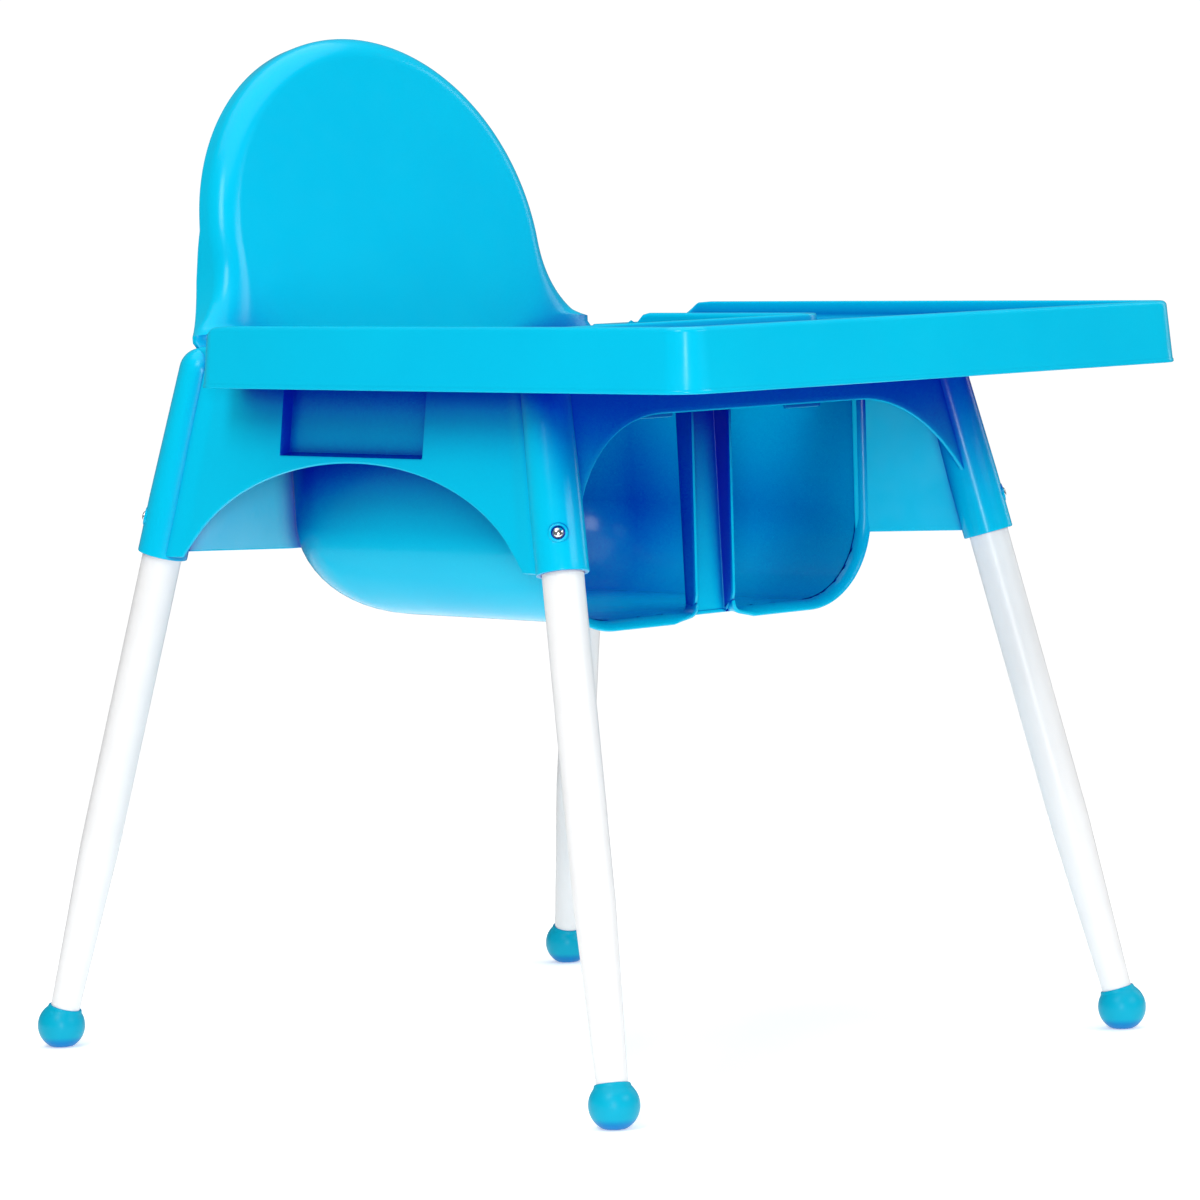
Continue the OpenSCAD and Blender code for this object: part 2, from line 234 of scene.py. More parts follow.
# Name, azimuth and elevation in degrees, then distance, width, height in metres, and watts
SOFTBOXES = (
    ("left", -72, 38, 3.0, 0.8, 1.2, 35),
    ("front", 14, 24, 3.4, 1.8, 0.8, 29),
    ("strip", -46, 3, 3.6, 0.4, 1.3, 42),
    ("right", 78, 20, 3.0, 0.8, 1.8, 10),
    ("top", 0, 89, 2.8, 4.2, 4.2, 86),
)


def place_camera():
    """A long lens, from the left front and looking a little down."""
    az, el, roll = (math.radians(a) for a in CAMERA_TURN)
    back = Vector((math.sin(az) * math.cos(el), -math.cos(az) * math.cos(el), math.sin(el)))
    right = (-back).cross(Vector((0, 0, 1))).normalized()
    up = right.cross(-back)
    x = math.cos(roll) * right + math.sin(roll) * up
    y = -math.sin(roll) * right + math.cos(roll) * up
    data = bpy.data.cameras.new("camera")
    data.lens = 165
    data.sensor_width = 36
    data.clip_end = 60
    cam = bpy.data.objects.new("camera", data)
    bpy.context.scene.collection.objects.link(cam)
    cam.matrix_world = Matrix.Translation(CAMERA_AT) @ Matrix(
        (x, y, back)
    ).transposed().to_4x4()
    bpy.context.scene.camera = cam


def softbox(name, azimuth, elevation, distance, width, height, power):
    """An area light that faces the chair. Azimuth 0 is straight in front of the tray."""
    az, el = math.radians(azimuth), math.radians(elevation)
    aim = Vector(LIGHT_AIM)
    out = Vector((math.sin(az) * math.cos(el), -math.cos(az) * math.cos(el), math.sin(el)))
    data = bpy.data.lights.new(name, "AREA")
    data.shape = "RECTANGLE"
    data.size = width
    data.size_y = height
    data.energy = power
    lamp = bpy.data.objects.new(name, data)
    bpy.context.scene.collection.objects.link(lamp)
    lamp.location = aim + out * distance
    lamp.rotation_euler = out.to_track_quat("Z", "Y").to_euler()


def light_studio():
    """A white surround that lights little itself, and the softboxes."""
    scene = bpy.context.scene
    scene.view_settings.view_transform = "Standard"
    world = bpy.data.worlds.new("studio")
    world.use_nodes = True
    nodes, links = world.node_tree.nodes, world.node_tree.links
    path = nodes.new("ShaderNodeLightPath")
    blend = nodes.new("ShaderNodeMapRange")
    blend.inputs["To Min"].default_value = 0.16
    blend.inputs["To Max"].default_value = 1.05
    links.new(path.outputs["Is Camera Ray"], blend.inputs["Value"])
    links.new(blend.outputs["Result"], nodes["Background"].inputs["Strength"])
    nodes["Background"].inputs["Color"].default_value = (1, 1, 1, 1)
    scene.world = world
    for box in SOFTBOXES:
        softbox(*box)


def lay_floor(mat):
    bm = bmesh.new()
    bmesh.ops.create_circle(bm, cap_ends=True, segments=96, radius=FLOOR_RADIUS)
    mesh = bpy.data.meshes.new("floor")
    bm.to_mesh(mesh)
    bm.free()
    mesh.materials.append(mat)
    floor = bpy.data.objects.new("floor", mesh)
    floor.location.z = -FLOOR_GAP
    bpy.context.scene.collection.objects.link(floor)


# ---- Mesh tools ----


class Sheet:
    """A surface of quads and flat fills, in millimetres, that later becomes a wall of even thickness."""

    def __init__(self):
        self.bm = bmesh.new()

    def grid(self, points, closed=False):
        rows = [[self.bm.verts.new(p) for p in row] for row in np.asarray(points, float)]
        for upper, lower in zip(rows, rows[1:]):
            columns = list(zip(upper, lower))
            if closed:
                columns.append(columns[0])
            for (a, b), (c, d) in zip(columns, columns[1:]):
                self.bm.faces.new((a, b, d, c))
        return self

    def fill(self, *loops):
        """Fills the flat area inside the first loop and outside any others."""
        edges = []
        for loop in loops:
            verts = [self.bm.verts.new(p) for p in loop]
            edges += [self.bm.edges.new(pair) for pair in zip(verts, verts[1:] + verts[:1])]
        bmesh.ops.triangle_fill(self.bm, edges=edges, use_beauty=True, use_dissolve=False)
        return self

    def join(self, gap=0.02):
        bmesh.ops.remove_doubles(self.bm, verts=self.bm.verts, dist=gap)
        bmesh.ops.dissolve_degenerate(self.bm, edges=self.bm.edges, dist=0.001)
        return self

    def face_towards(self, near, direction):
        """Turns all faces so that the one nearest to a point looks in a direction."""
        bmesh.ops.recalc_face_normals(self.bm, faces=self.bm.faces)
        self.bm.normal_update()
        face = min(self.bm.faces, key=lambda f: (f.calc_center_median() - Vector(near)).length)
        if face.normal.dot(Vector(direction)) < 0:
            bmesh.ops.reverse_faces(self.bm, faces=self.bm.faces)
        return self

    def thicken(self, wall=WALL, steps=4):
        """Adds the far side of the wall, and a rounded rim along every free edge."""
        bm = self.bm
        bm.normal_update()
        front = list(bm.verts)
        faces = list(bm.faces)
        normal = {v: v.normal.copy() for v in front}
        depth = {v: wall * min(v.calc_shell_factor(), 1.5) for v in front}
        free = [e for e in bm.edges if e.is_boundary]
        out = {v: Vector() for e in free for v in e.verts}
        for e in free:
            face = e.link_faces[0]
            a, b = e.verts
            side = (b.co - a.co).cross(face.normal).normalized()
            if side.dot(face.calc_center_median() - a.co) > 0:
                side.negate()
            out[a] += side
            out[b] += side
        back = {v: bm.verts.new(v.co - normal[v] * depth[v]) for v in front}
        chains = {}
        for v, side in out.items():
            side.normalize()
            middle = (v.co + back[v].co) / 2
            chain = [v]
            for i in range(1, steps):
                t = math.pi * i / steps
                chain.append(
                    bm.verts.new(
                        middle
                        + normal[v] * (depth[v] / 2 * math.cos(t))
                        + side * (0.38 * wall * math.sin(t) ** 0.7)
                    )
                )
            chains[v] = chain + [back[v]]
        for face in faces:
            bm.faces.new([back[v] for v in reversed(face.verts)])
        for e in free:
            for (a, b), (c, d) in zip(
                zip(chains[e.verts[0]], chains[e.verts[0]][1:]),
                zip(chains[e.verts[1]], chains[e.verts[1]][1:]),
            ):
                bm.faces.new((a, b, d, c))
        bmesh.ops.recalc_face_normals(bm, faces=bm.faces)
        return self

    def piece(self, name, mat, sharp=38):
        """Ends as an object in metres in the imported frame, smooth-shaded except at real corners."""
        for v in self.bm.verts:
            v.co = (v.co + Vector((0, LEGS_Y, 0))) * MM
        for f in self.bm.faces:
            f.smooth = True
        mesh = bpy.data.meshes.new(name)
        self.bm.to_mesh(mesh)
        self.bm.free()
        mesh.set_sharp_from_angle(angle=math.radians(sharp))
        mesh.materials.append(mat)
        obj = bpy.data.objects.new(name, mesh)
        bpy.context.scene.collection.objects.link(obj)
        weigh = obj.modifiers.new("weigh", "WEIGHTED_NORMAL")
        weigh.keep_sharp = True
        weigh.weight = 70
        return obj


def mirrored(points):
    """The same grid on the other side of the chair."""
    return np.asarray(points, float)[..., ::-1, :] * (-1, 1, 1)


def arc(cx, cy, rx, ry, a0, a1, n):
    """Points on an ellipse from angle a0 to a1, in degrees."""
    t = np.radians(np.linspace(a0, a1, n + 1))
    return np.stack([cx + rx * np.cos(t), cy + ry * np.sin(t)], -1)


def soft_step(t, width):
    """0 before an edge and 1 after it, through a drafted wall with small fillets."""
    at = np.array([-1, -0.65, -0.42, 0.42, 0.65, 1]) * width
    return np.interp(t, at, [0, 0.03, 0.14, 0.86, 0.97, 1])


def edge_stops(edge, width):
    """Where a grid needs lines to follow soft_step."""
    return [edge + k * width for k in (-1, -0.65, -0.42, 0, 0.42, 0.65, 1)]


# ---- Seat moulding ----

# The outside: corner and top edge radii, the band above the skirts, and the skirts' half lengths
RING_R = 8.0
EDGE_R = 4.0
APRON = 490.0
SIDE_RUN = 157.0
END_RUN = 178.0
PANEL_END = 13.9
FOOT_Z = 354.0
# The side recess: its front and rear ends, its ledge, its depth and the width of its edges
RECESS = (-68.0, 75.0, 427.0, 8.0)
RECESS_EDGE = 1.6
BELOW_LEDGE = 424.6
# The raised strip beside a socket
STRIP_W = 9.5
STRIP_PROUD = 1.8
STRIP_EDGE = 0.8
# The side arch is half an ellipse, and an end arch a flat with a quarter circle at each end
SIDE_ARCH_Z = 325
SIDE_ARCH_RISE = 98
SIDE_ARCH_HALF = 180
END_ARCH_Z = 350
END_ARCH_R = 104
END_ARCH_FLAT = 98

# The inside: the bucket's mouth, its rear corners, its floor and the radius between sides and floor
MOUTH_X = 154.0
MOUTH_FRONT = -137.0
MOUTH_REAR = 169.0
MOUTH_R = 4.0
BUCKET_FRONT = MOUTH_FRONT + 9
BACK_FLAT = 87.0
HEEL_R = 67.0
BUCKET_LEAN = math.radians(3)
FLOOR_Z = 311.0
FLOOR_R = 57
BEND_TOP = FLOOR_Z + FLOOR_R
FRONT_LIP_FOOT = 487.0
# The turned-out lips of the leg openings: depth from the front, and share of the flare there
LIP_FLARE = 5.6
LIP_CURVE = ((9, 0), (7, 0.02), (5, 0.1), (3.4, 0.24), (2, 0.44), (1, 0.66), (0.3, 0.86), (0, 1))
# The crotch post, and the gussets' ends
POST_HALF = 20.0
POST_R = 4.0
GUSSET_Z = (356, 498)
FRONT_EDGE = (155.5, 127.5)
MID_CORNER = 30


def side_stations():
    """y of the deck's stations along one side, inside its round corners."""
    y0, y1, _, _ = RECESS
    ys = set(np.round(np.linspace(-SIDE_RUN, SIDE_RUN, 64), 2))
    ys -= {y for y in ys if min(abs(y - y0), abs(y - y1)) < 3}
    return sorted(ys | set(edge_stops(y0, RECESS_EDGE)) | set(edge_stops(y1, RECESS_EDGE)))


def recess_depth(y, z):
    y0, y1, ledge, deep = RECESS
    inside = soft_step(y - y0, RECESS_EDGE) * soft_step(y1 - y, RECESS_EDGE)
    return deep * inside * soft_step(z - ledge, RECESS_EDGE)


def deck_ring(inset, z, at=None):
    """One level of the seat's outer outline, moved inwards; at is the height whose size it has."""
    at = z if at is None else at
    x, y = skirt_x(at) - inset, skirt_y(at) - inset
    r = RING_R - inset
    sides = np.array(side_stations())
    dent = recess_depth(sides, z)
    run = np.linspace(-END_RUN, END_RUN, 60)
    left = np.stack([-x + dent, sides], -1)
    right = np.stack([x - dent, sides], -1)
    return np.vstack([
        left[::-1],
        arc(r - x, r - y, r, r, 180, 270, 4),
        np.stack([run, np.full_like(run, -y)], -1),
        arc(x - r, r - y, r, r, 270, 360, 4),
        right,
        arc(x - r, y - r, r, r, 0, 90, 4),
        np.stack([run[::-1], np.full_like(run, y)], -1),
        arc(r - x, y - r, r, r, 90, 180, 4),
    ])


def with_z(outline, z):
    return np.column_stack([outline, np.full(len(outline), z)])


def ring_rows():
    """The deck's rounded outer edge and the band below it."""
    rows = []
    for t in np.radians(np.linspace(0, 90, 6)):
        z = DECK - EDGE_R * (1 - math.cos(t))
        rows.append(with_z(deck_ring(EDGE_R * (1 - math.sin(t)), z, DECK), z))
    rows.append(with_z(deck_ring(0, APRON), APRON))
    return rows


def fan(station, end_top, end_here, fixed):
    """Slides a panel's outer stations so that its end follows the leaning socket."""
    beyond = np.abs(station) - fixed
    grown = fixed + beyond * (end_here - fixed) / (end_top - fixed)
    return np.where(beyond > 0, np.sign(station) * grown, station)


def lowest(station, path, arch, top, bottom):
    """Where each station meets the arch's edge, found by halving."""
    lo, hi = np.full(len(station), bottom), np.full(len(station), top)
    for _ in range(30):
        mid = (lo + hi) / 2
        above = mid > arch(path(station, mid))
        hi = np.where(above, mid, hi)
        lo = np.where(above, lo, mid)
    return np.maximum(hi, bottom)


def side_arch(y):
    return SIDE_ARCH_Z + SIDE_ARCH_RISE * np.sqrt(np.clip(1 - (y / SIDE_ARCH_HALF) ** 2, 0, None))


def end_arch(x):
    over = np.clip(np.abs(x) - END_ARCH_FLAT, 0, END_ARCH_R - 0.1)
    return END_ARCH_Z + np.sqrt(END_ARCH_R**2 - over**2)


def side_panel():
    """The left skirt: recess, ledge, arch, and the raised strips beside the sockets."""
    ys = np.array([y for y in side_stations() if abs(y) <= SIDE_RUN + 0.0001])

    def end(z):
        return MOUTH[1] - SLOPE_Y * (z - MOUTH[2]) - PANEL_END

    def path(y, z):
        return fan(y, SIDE_RUN, end(z), 100)

    low = lowest(ys, path, side_arch, 424.0, FOOT_Z)
    levels = [APRON] + list(np.linspace(484, 433, 7)) + edge_stops(RECESS[2], RECESS_EDGE)[::-1]
    rows = [np.full(len(ys), z) for z in levels] + [
        BELOW_LEDGE + (low - BELOW_LEDGE) * t for t in np.linspace(0, 1, 12)
    ]
    grid = []
    for i, z in enumerate(rows):
        y = ys if i == 0 else path(ys, z)
        strip = STRIP_PROUD * soft_step(np.abs(y) - (end(z) - STRIP_W), STRIP_EDGE) * (i > 0)
        grid.append(np.stack([-skirt_x(z) + recess_depth(y, z) - strip, y, z], -1))
    return np.array(grid)


def end_panel(side):
    """The front skirt at side -1, the rear skirt at side 1."""
    xs = np.linspace(-END_RUN, END_RUN, 60)

    def end(z):
        return MOUTH[0] - SLOPE_X * (z - MOUTH[2]) - PANEL_END

    def path(x, z):
        return fan(x, END_RUN, end(z), END_ARCH_FLAT)

    low = lowest(xs, path, end_arch, APRON, FOOT_Z)
    grid = []
    for i, t in enumerate(np.linspace(0, 1, 14)):
        z = APRON + (low - APRON) * t
        x = xs if i == 0 else path(xs, z)
        grid.append(np.stack([x, side * skirt_y(z), z], -1))
    return np.array(grid)


def inner_plane(z):
    """y of the bucket's leaning rear wall."""
    return MOUTH_REAR + math.tan(BUCKET_LEAN) * (z - DECK)


def bucket_slice(z, widen=0.0):
    """One level of the bucket's inside, from its open front on the left round to the right."""
    deep = np.clip((BEND_TOP - z) / FLOOR_R, 0, 1)
    half = MOUTH_X - FLOOR_R * (1 - math.sqrt(1 - deep**2)) + widen
    heel = np.clip((FLOOR_Z + HEEL_R - z) / HEEL_R, 0, 1)
    rear_in = HEEL_R * (1 - math.sqrt(1 - heel**2))
    rear = inner_plane(z) - rear_in
    flat_x = BACK_FLAT - 0.45 * rear_in
    rx, ry = half - flat_x, HEEL_R - 0.4 * rear_in + widen * 0.5
    corner_y = rear - ry
    side_y = BUCKET_FRONT + (corner_y - BUCKET_FRONT) * np.linspace(0, 1, 22)[:-1]
    left = np.stack([np.full(21, -half), side_y], -1)
    turn = arc(-flat_x, corner_y, rx, ry, 180, 90, 18)
    flat = np.stack([np.linspace(-flat_x, flat_x, 15)[1:-1], np.full(13, rear)], -1)
    outline = np.vstack([left, turn, flat, turn[::-1] * (-1, 1), left[::-1] * (-1, 1)])
    return with_z(outline, z)


def bucket_rows():
    levels = list(np.linspace(DECK - MOUTH_R, BEND_TOP + 4, 9))
    levels += [BEND_TOP - FLOOR_R * math.sin(t) for t in np.radians(np.linspace(0, 90, 14))]
    return [bucket_slice(z) for z in levels]


def mouth_rows():
    """The rolled edge between the deck and the bucket, which fades out where the back rises."""
    flat = bucket_slice(DECK)
    fade = np.clip((np.abs(flat[:, 0]) - BACK_FLAT) / 50, 0.0, 1)
    fade = np.where(flat[:, 1] > 60, fade, 1.0)
    rows = []
    for t in np.radians(np.linspace(0, 90, 6)):
        drop = MOUTH_R * (1 - math.cos(t))
        wide = bucket_slice(DECK - drop)
        grow = MOUTH_R * (1 - math.sin(t)) * fade
        rear = np.where(flat[:, 1] > 60, 1, 0)
        away = np.stack([np.sign(wide[:, 0]) * grow, rear * grow * 0.3], -1)
        rows.append(np.column_stack([wide[:, :2] + away, wide[:, 2]]))
    return rows


def front_lip_rows(mouth_top):
    """The turned-down edge across the front of the mouth, above the leg openings."""
    left, right = mouth_top[0][0], mouth_top[0][-1]
    xs = np.linspace(left[0], right[0], 40)
    rows = []
    for t in np.radians(np.linspace(0, 90, 6)):
        y = BUCKET_FRONT - MOUTH_R * (1 - math.sin(t))
        z = DECK - MOUTH_R * (1 - math.cos(t))
        rows.append(np.stack([xs, np.full(40, y), np.full(40, z)], -1))
    rows.append(np.stack([xs, np.full(40, BUCKET_FRONT), np.full(40, FRONT_LIP_FOOT)], -1))
    return rows


def opening_path():
    """Inside edge of the left leg opening: down the side, round the corner, along to the post."""
    down = np.stack([np.full(9, -MOUTH_X), np.linspace(DECK - MOUTH_R, BEND_TOP + 4, 9)], -1)
    corner = arc(FLOOR_R - MOUTH_X, BEND_TOP, FLOOR_R, FLOOR_R, 180, 270, 26)
    along = np.stack([np.linspace(-95, -26, 16), np.full(16, FLOOR_Z)], -1)
    turn = arc(-25, FLOOR_Z + 5, 5, 5, 270, 360, 6)[1:]
    return np.vstack([down, corner, along, turn])


def lip_rows():
    """The left opening's trumpet lip, from 9 mm inside the bucket to its turned-out edge."""
    path = opening_path()
    ahead = np.gradient(path, axis=0)
    ahead /= np.linalg.norm(ahead, axis=1, keepdims=True)
    outward = np.stack([ahead[:, 1], -ahead[:, 0]], -1)
    near_post = np.clip((path[:, 0] + 40) / 20, 0, 1)
    flare = LIP_FLARE * (1 - 0.9 * near_post)
    rows = []
    for depth, share in LIP_CURVE:
        p = path + outward * (flare * share)[:, None]
        rows.append(np.stack([p[:, 0], np.full(len(p), MOUTH_FRONT + depth), p[:, 1]], -1))
    return rows


def make_seat(mats):
    sheet = Sheet()
    ring, mouth, bucket = ring_rows(), mouth_rows(), bucket_rows()
    sheet.grid(ring, closed=True)
    panel = side_panel()
    sheet.grid(panel)
    sheet.grid(mirrored(panel))
    sheet.grid(end_panel(-1))
    sheet.grid(end_panel(1))
    front = front_lip_rows(mouth)
    sheet.fill(ring[0], np.vstack([mouth[0], front[0][::-1][1:-1]]))
    sheet.grid(mouth)
    sheet.grid(front)
    sheet.grid(bucket)
    lip = np.array(lip_rows())
    sheet.grid(lip)
    sheet.grid(mirrored(lip))
    front_x = np.linspace(FLOOR_R - MOUTH_X, MOUTH_X - FLOOR_R, 60)[1:-1]
    front_edge = np.stack([front_x, np.full(58, BUCKET_FRONT), np.full(58, FLOOR_Z)], -1)
    sheet.fill(np.vstack([bucket[-1], front_edge[::-1]]))
    sheet.join().face_towards((0, 100, FLOOR_Z), (0, 0, 1)).thicken()
    return sheet.piece("seat_moulding", mats["blue_plastic"])


def make_post(mats):
    """The crotch post: a channel, open to the front, that gets shallower towards the floor."""
    rows = []
    for z in np.linspace(497, FLOOR_Z - 1.5, 30):
        t = (z - FLOOR_Z) / (DECK - FLOOR_Z)
        rear = MOUTH_FRONT + 11.5 + 7.5 * t
        low = MOUTH_FRONT + 0.6 + 9 * np.clip((FLOOR_Z + 5.5 - z) / 3, 0, 1)
        left = np.stack([np.full(7, -POST_HALF), np.linspace(low, rear - POST_R, 7)], -1)
        turn = arc(POST_R - POST_HALF, rear - POST_R, POST_R, POST_R, 180, 90, 5)[1:]
        flat_x = np.linspace(POST_R - POST_HALF, POST_HALF - POST_R, 7)[1:-1]
        flat = np.stack([flat_x, np.full(5, rear)], -1)
        outline = np.vstack([left, turn, flat, (turn * (-1, 1))[::-1], left[::-1] * (-1, 1)])
        rows.append(with_z(outline, z))
    sheet = Sheet().grid(rows).join().face_towards((0, -118, 420), (0, 1, 0)).thicken()
    return sheet.piece("crotch_post", mats["blue_plastic"])


def make_gussets(mats):
    """Upright plates from the leaning sockets to the front edges and rear corners of the bucket."""
    pieces = []
    for name, (sx, sy) in CORNERS.items():
        grid = []
        for z in np.linspace(*GUSSET_Z, 12):
            rear_corner = np.abs(bucket_slice(z, 1.5)[MID_CORNER, :2])
            end = rear_corner if sy > 0 else np.array(FRONT_EDGE)
            run = (end - MOUTH[:2]) / np.linalg.norm(end - MOUTH[:2])
            axis = -np.array([SLOPE_X, SLOPE_Y]) * (z - MOUTH[2])
            start = MOUTH[:2] + run * (axis.dot(run) + 6)
            along = np.linspace(0, 1, 10)[:, None]
            grid.append(with_z((start + (end - start) * along) * (sx, sy), z))
        sheet = Sheet().grid(grid).face_towards(grid[0][0], (sx, -sy, 0)).thicken()
        pieces.append(sheet.piece(f"{name}_gusset", mats["short_shade_plastic"]))
    return pieces


# ---- Backrest ----

BACK_R = 158.5
BACK_LEN = 227.0
KNEE = BACK_LEN - BACK_R
FLARE_R = 66.0
BACK_HALF = skirt_x(DECK) - 6
BACK_FILLET = 18.0
BACK_DEPTH = 26.0
LEAST_DEPTH = 4.0
# Below SWEEP_TOP the flange's rear edge follows a curve: height above the deck, and y
SWEEP_TOP = 90.0
SWEEP_Z = (-20, -5, 0.7, 7.7, 16.9, 28.6, 42.5, 54, 66, 82)
SWEEP_Y = (175.5, 176, 179, 193, 205, 213, 216.6, 217, 215.8, 214.3)
# The most that x and y add up to at the flange's rear edge, beside the socket's top
FOOT_CORNER = 376.5


def back_sides():
    """The left side of the backrest's outline in its own plane: the foot and its flare."""
    foot = math.acos((BACK_R + FLARE_R - BACK_HALF) / FLARE_R)
    flare = arc(-BACK_R - FLARE_R, KNEE, FLARE_R, FLARE_R, -math.degrees(foot), 0, 20)
    below = np.stack([np.full(3, -BACK_HALF), np.linspace(-3, flare[0, 1], 4)[:-1]], -1)
    return np.vstack([below, flare[:-1]])


def arched(side, radius):
    """A left side, a round top and the right side."""
    return np.vstack([side, arc(0, KNEE, radius, radius, 180, 0, 96), (side * (-1, 1))[::-1]])


def back_face(side):
    """The flat front face's outline: its sides run straight down, clear of the flared feet."""
    half = BACK_R - BACK_FILLET
    return arched(np.stack([np.full(len(side), -half), side[:, 1]], -1), half)


def on_back(outline, depth):
    """Points of the backrest's plane, depth mm behind its front face, in chair space."""
    u, s = outline[:, 0], outline[:, 1]
    y = MOUTH_REAR + s * math.sin(LEAN) + depth * math.cos(LEAN)
    z = DECK + s * math.cos(LEAN) - depth * math.sin(LEAN)
    return np.stack([u, y, z], -1)


def rear_limit(z):
    """How far back the flange's rear edge reaches at a height: it sweeps back from the deck."""
    return np.interp(z, DECK + np.array(SWEEP_Z), SWEEP_Y)


def flange_depth(outline):
    """Depth of the flange at each station, so that its rear edge keeps to rear_limit."""
    deep = np.full(len(outline), BACK_DEPTH)
    for _ in range(24):
        rear = on_back(outline, deep)
        limit = np.minimum(rear_limit(rear[:, 2]), FOOT_CORNER - np.abs(rear[:, 0]))
        short = limit - rear[:, 1]
        deep = np.where(outline[:, 1] < SWEEP_TOP, deep + short * 0.7, deep)
    return np.maximum(deep, LEAST_DEPTH)


def make_backrest(mats):
    side = back_sides()
    outer, face = arched(side, BACK_R), back_face(side)
    deep = flange_depth(outer)
    fillet = np.minimum(BACK_FILLET, deep - 1.5)
    rows = []
    for share in np.linspace(1, 0, 6):
        rows.append(on_back(outer, fillet + (deep - fillet) * share))
    for t in np.radians(np.linspace(0, 90, 19))[1:]:
        rim = outer + (face - outer) * (1 - math.cos(t))
        rows.append(on_back(rim, fillet * (1 - math.sin(t))))
    sheet = Sheet().grid(rows)
    sheet.fill(rows[-1])
    sheet.join().face_towards((0, 200, 640), (0, -1, 0.2)).thicken()
    return sheet.piece("backrest_moulding", mats["blue_plastic"])


# ---- Leg sockets ----


def leg_matrix(sx, sy):
    """Rotation and start of a leg: its own z runs from the foot up to the socket."""
    run = (MOUTH - FOOT) * (sx, sy, 1)
    z = run / np.linalg.norm(run)
    out = np.array([sx, sy, 0.0])
    x = out - z * out.dot(z)
    x /= np.linalg.norm(x)
    return np.stack([x, np.cross(z, x), z], -1), FOOT * (sx, sy, 1)


def along_leg(z):
    return (z - FOOT[2]) * np.linalg.norm(MOUTH - FOOT) / (MOUTH[2] - FOOT[2])


def revolve(profile, turns, count=72):
    """Rows of a revolved profile of (radius, height), placed by a rotation and a start."""
    rotation, start = turns
    angle = np.linspace(0, 2 * np.pi, count, endpoint=False)
    rows = []
    for r, h in profile:
        ring = np.stack([r * np.cos(angle), r * np.sin(angle), np.full(count, h)], -1)
        rows.append(ring @ rotation.T + start)
    return rows


def make_socket(name, mats):
    turns = leg_matrix(*CORNERS[name])
    mouth = np.linalg.norm(MOUTH - FOOT)
    top_r = SOCKET_R - SOCKET_DRAFT
    dome = along_leg(SOCKET_TOP - top_r)
    plain = along_leg(BUTTON_Z) + 16
    bore = TUBE_R + TUBE_PLAY
    profile = [(bore, dome - 8), (bore, mouth + 0.8), (bore + 0.6, mouth), (SOCKET_R - 0.8, mouth)]
    profile += [(SOCKET_R - 0.25, mouth + 0.2), (SOCKET_R, mouth + 0.9)]
    profile += [(SOCKET_R - SOCKET_DRAFT * max(0, (h - plain) / (dome - plain)), h)
                for h in np.linspace(mouth + 6, dome, 12)]
    profile += [(top_r * math.cos(t), dome + top_r * math.sin(t))
                for t in np.radians(np.linspace(0, 88, 12))[1:]]
    profile += [(1, dome - 3), (bore - 2, dome - 3)]
    sheet = Sheet().grid(revolve(profile, turns) + revolve(profile[:1], turns), closed=True)
    sheet.join()
    bmesh.ops.recalc_face_normals(sheet.bm, faces=sheet.bm.faces)
    socket = sheet.piece(f"{name}_socket", mats["blue_plastic"], 50)
    cut_button_hole(socket, name)
    return socket


def button_turns(name):
    """Rotation and centre of a button: its own z points outwards, square to the leg."""
    rotation, start = leg_matrix(*CORNERS[name])
    axis, centre = rotation[:, 0], rotation[:, 2] * along_leg(BUTTON_Z) + start
    side = np.cross((0, 0, 1), axis)
    side /= np.linalg.norm(side)
    return np.stack([side, np.cross(axis, side), axis], -1), centre


def cut_button_hole(socket, name):
    """Cuts the button's hole, with a countersink, through the socket's wall."""
    turns = button_turns(name)
    hole, rim, inside, outside = BUTTON_R + 0.45, BUTTON_R + 1.3, 8, SOCKET_R + 3
    profile = [(0.01, inside), (hole, inside), (hole, SOCKET_R - 0.9),
               (rim, SOCKET_R + 0.4), (rim, outside), (0.01, outside)]
    sheet = Sheet().grid(revolve(profile, turns, 40), closed=True).join()
    bmesh.ops.recalc_face_normals(sheet.bm, faces=sheet.bm.faces)
    cutter = sheet.piece("hole_cutter", bpy.data.materials["blue_plastic"])
    cutter.modifiers.clear()
    cut = socket.modifiers.new("hole", "BOOLEAN")
    cut.object = cutter
    cut.solver = "EXACT"
    bpy.context.view_layer.update()
    graph = bpy.context.evaluated_depsgraph_get()
    mesh = bpy.data.meshes.new_from_object(socket.evaluated_get(graph))
    socket.modifiers.clear()
    socket.data = mesh
    bpy.data.objects.remove(cutter)


def make_boss(name, mats):
    """The raised ring around a button's hole."""
    profile = [(BUTTON_R + 1.0, SOCKET_R - 1.4), (BUTTON_R + 1.1, SOCKET_R + 0.05),
               (BUTTON_R + 1.5, SOCKET_R + 0.4), (BUTTON_R + 2.4, SOCKET_R + 0.45),
               (BUTTON_R + 3.1, SOCKET_R + 0.1), (BUTTON_R + 3.6, SOCKET_R - 1.4)]
    rows = revolve(profile, button_turns(name), 48)
    sheet = Sheet().grid(rows + rows[:1], closed=True).join()
    bmesh.ops.recalc_face_normals(sheet.bm, faces=sheet.bm.faces)
    return sheet.piece(f"{name}_button_boss", mats["blue_plastic"], 60)


# ---- Feet ----


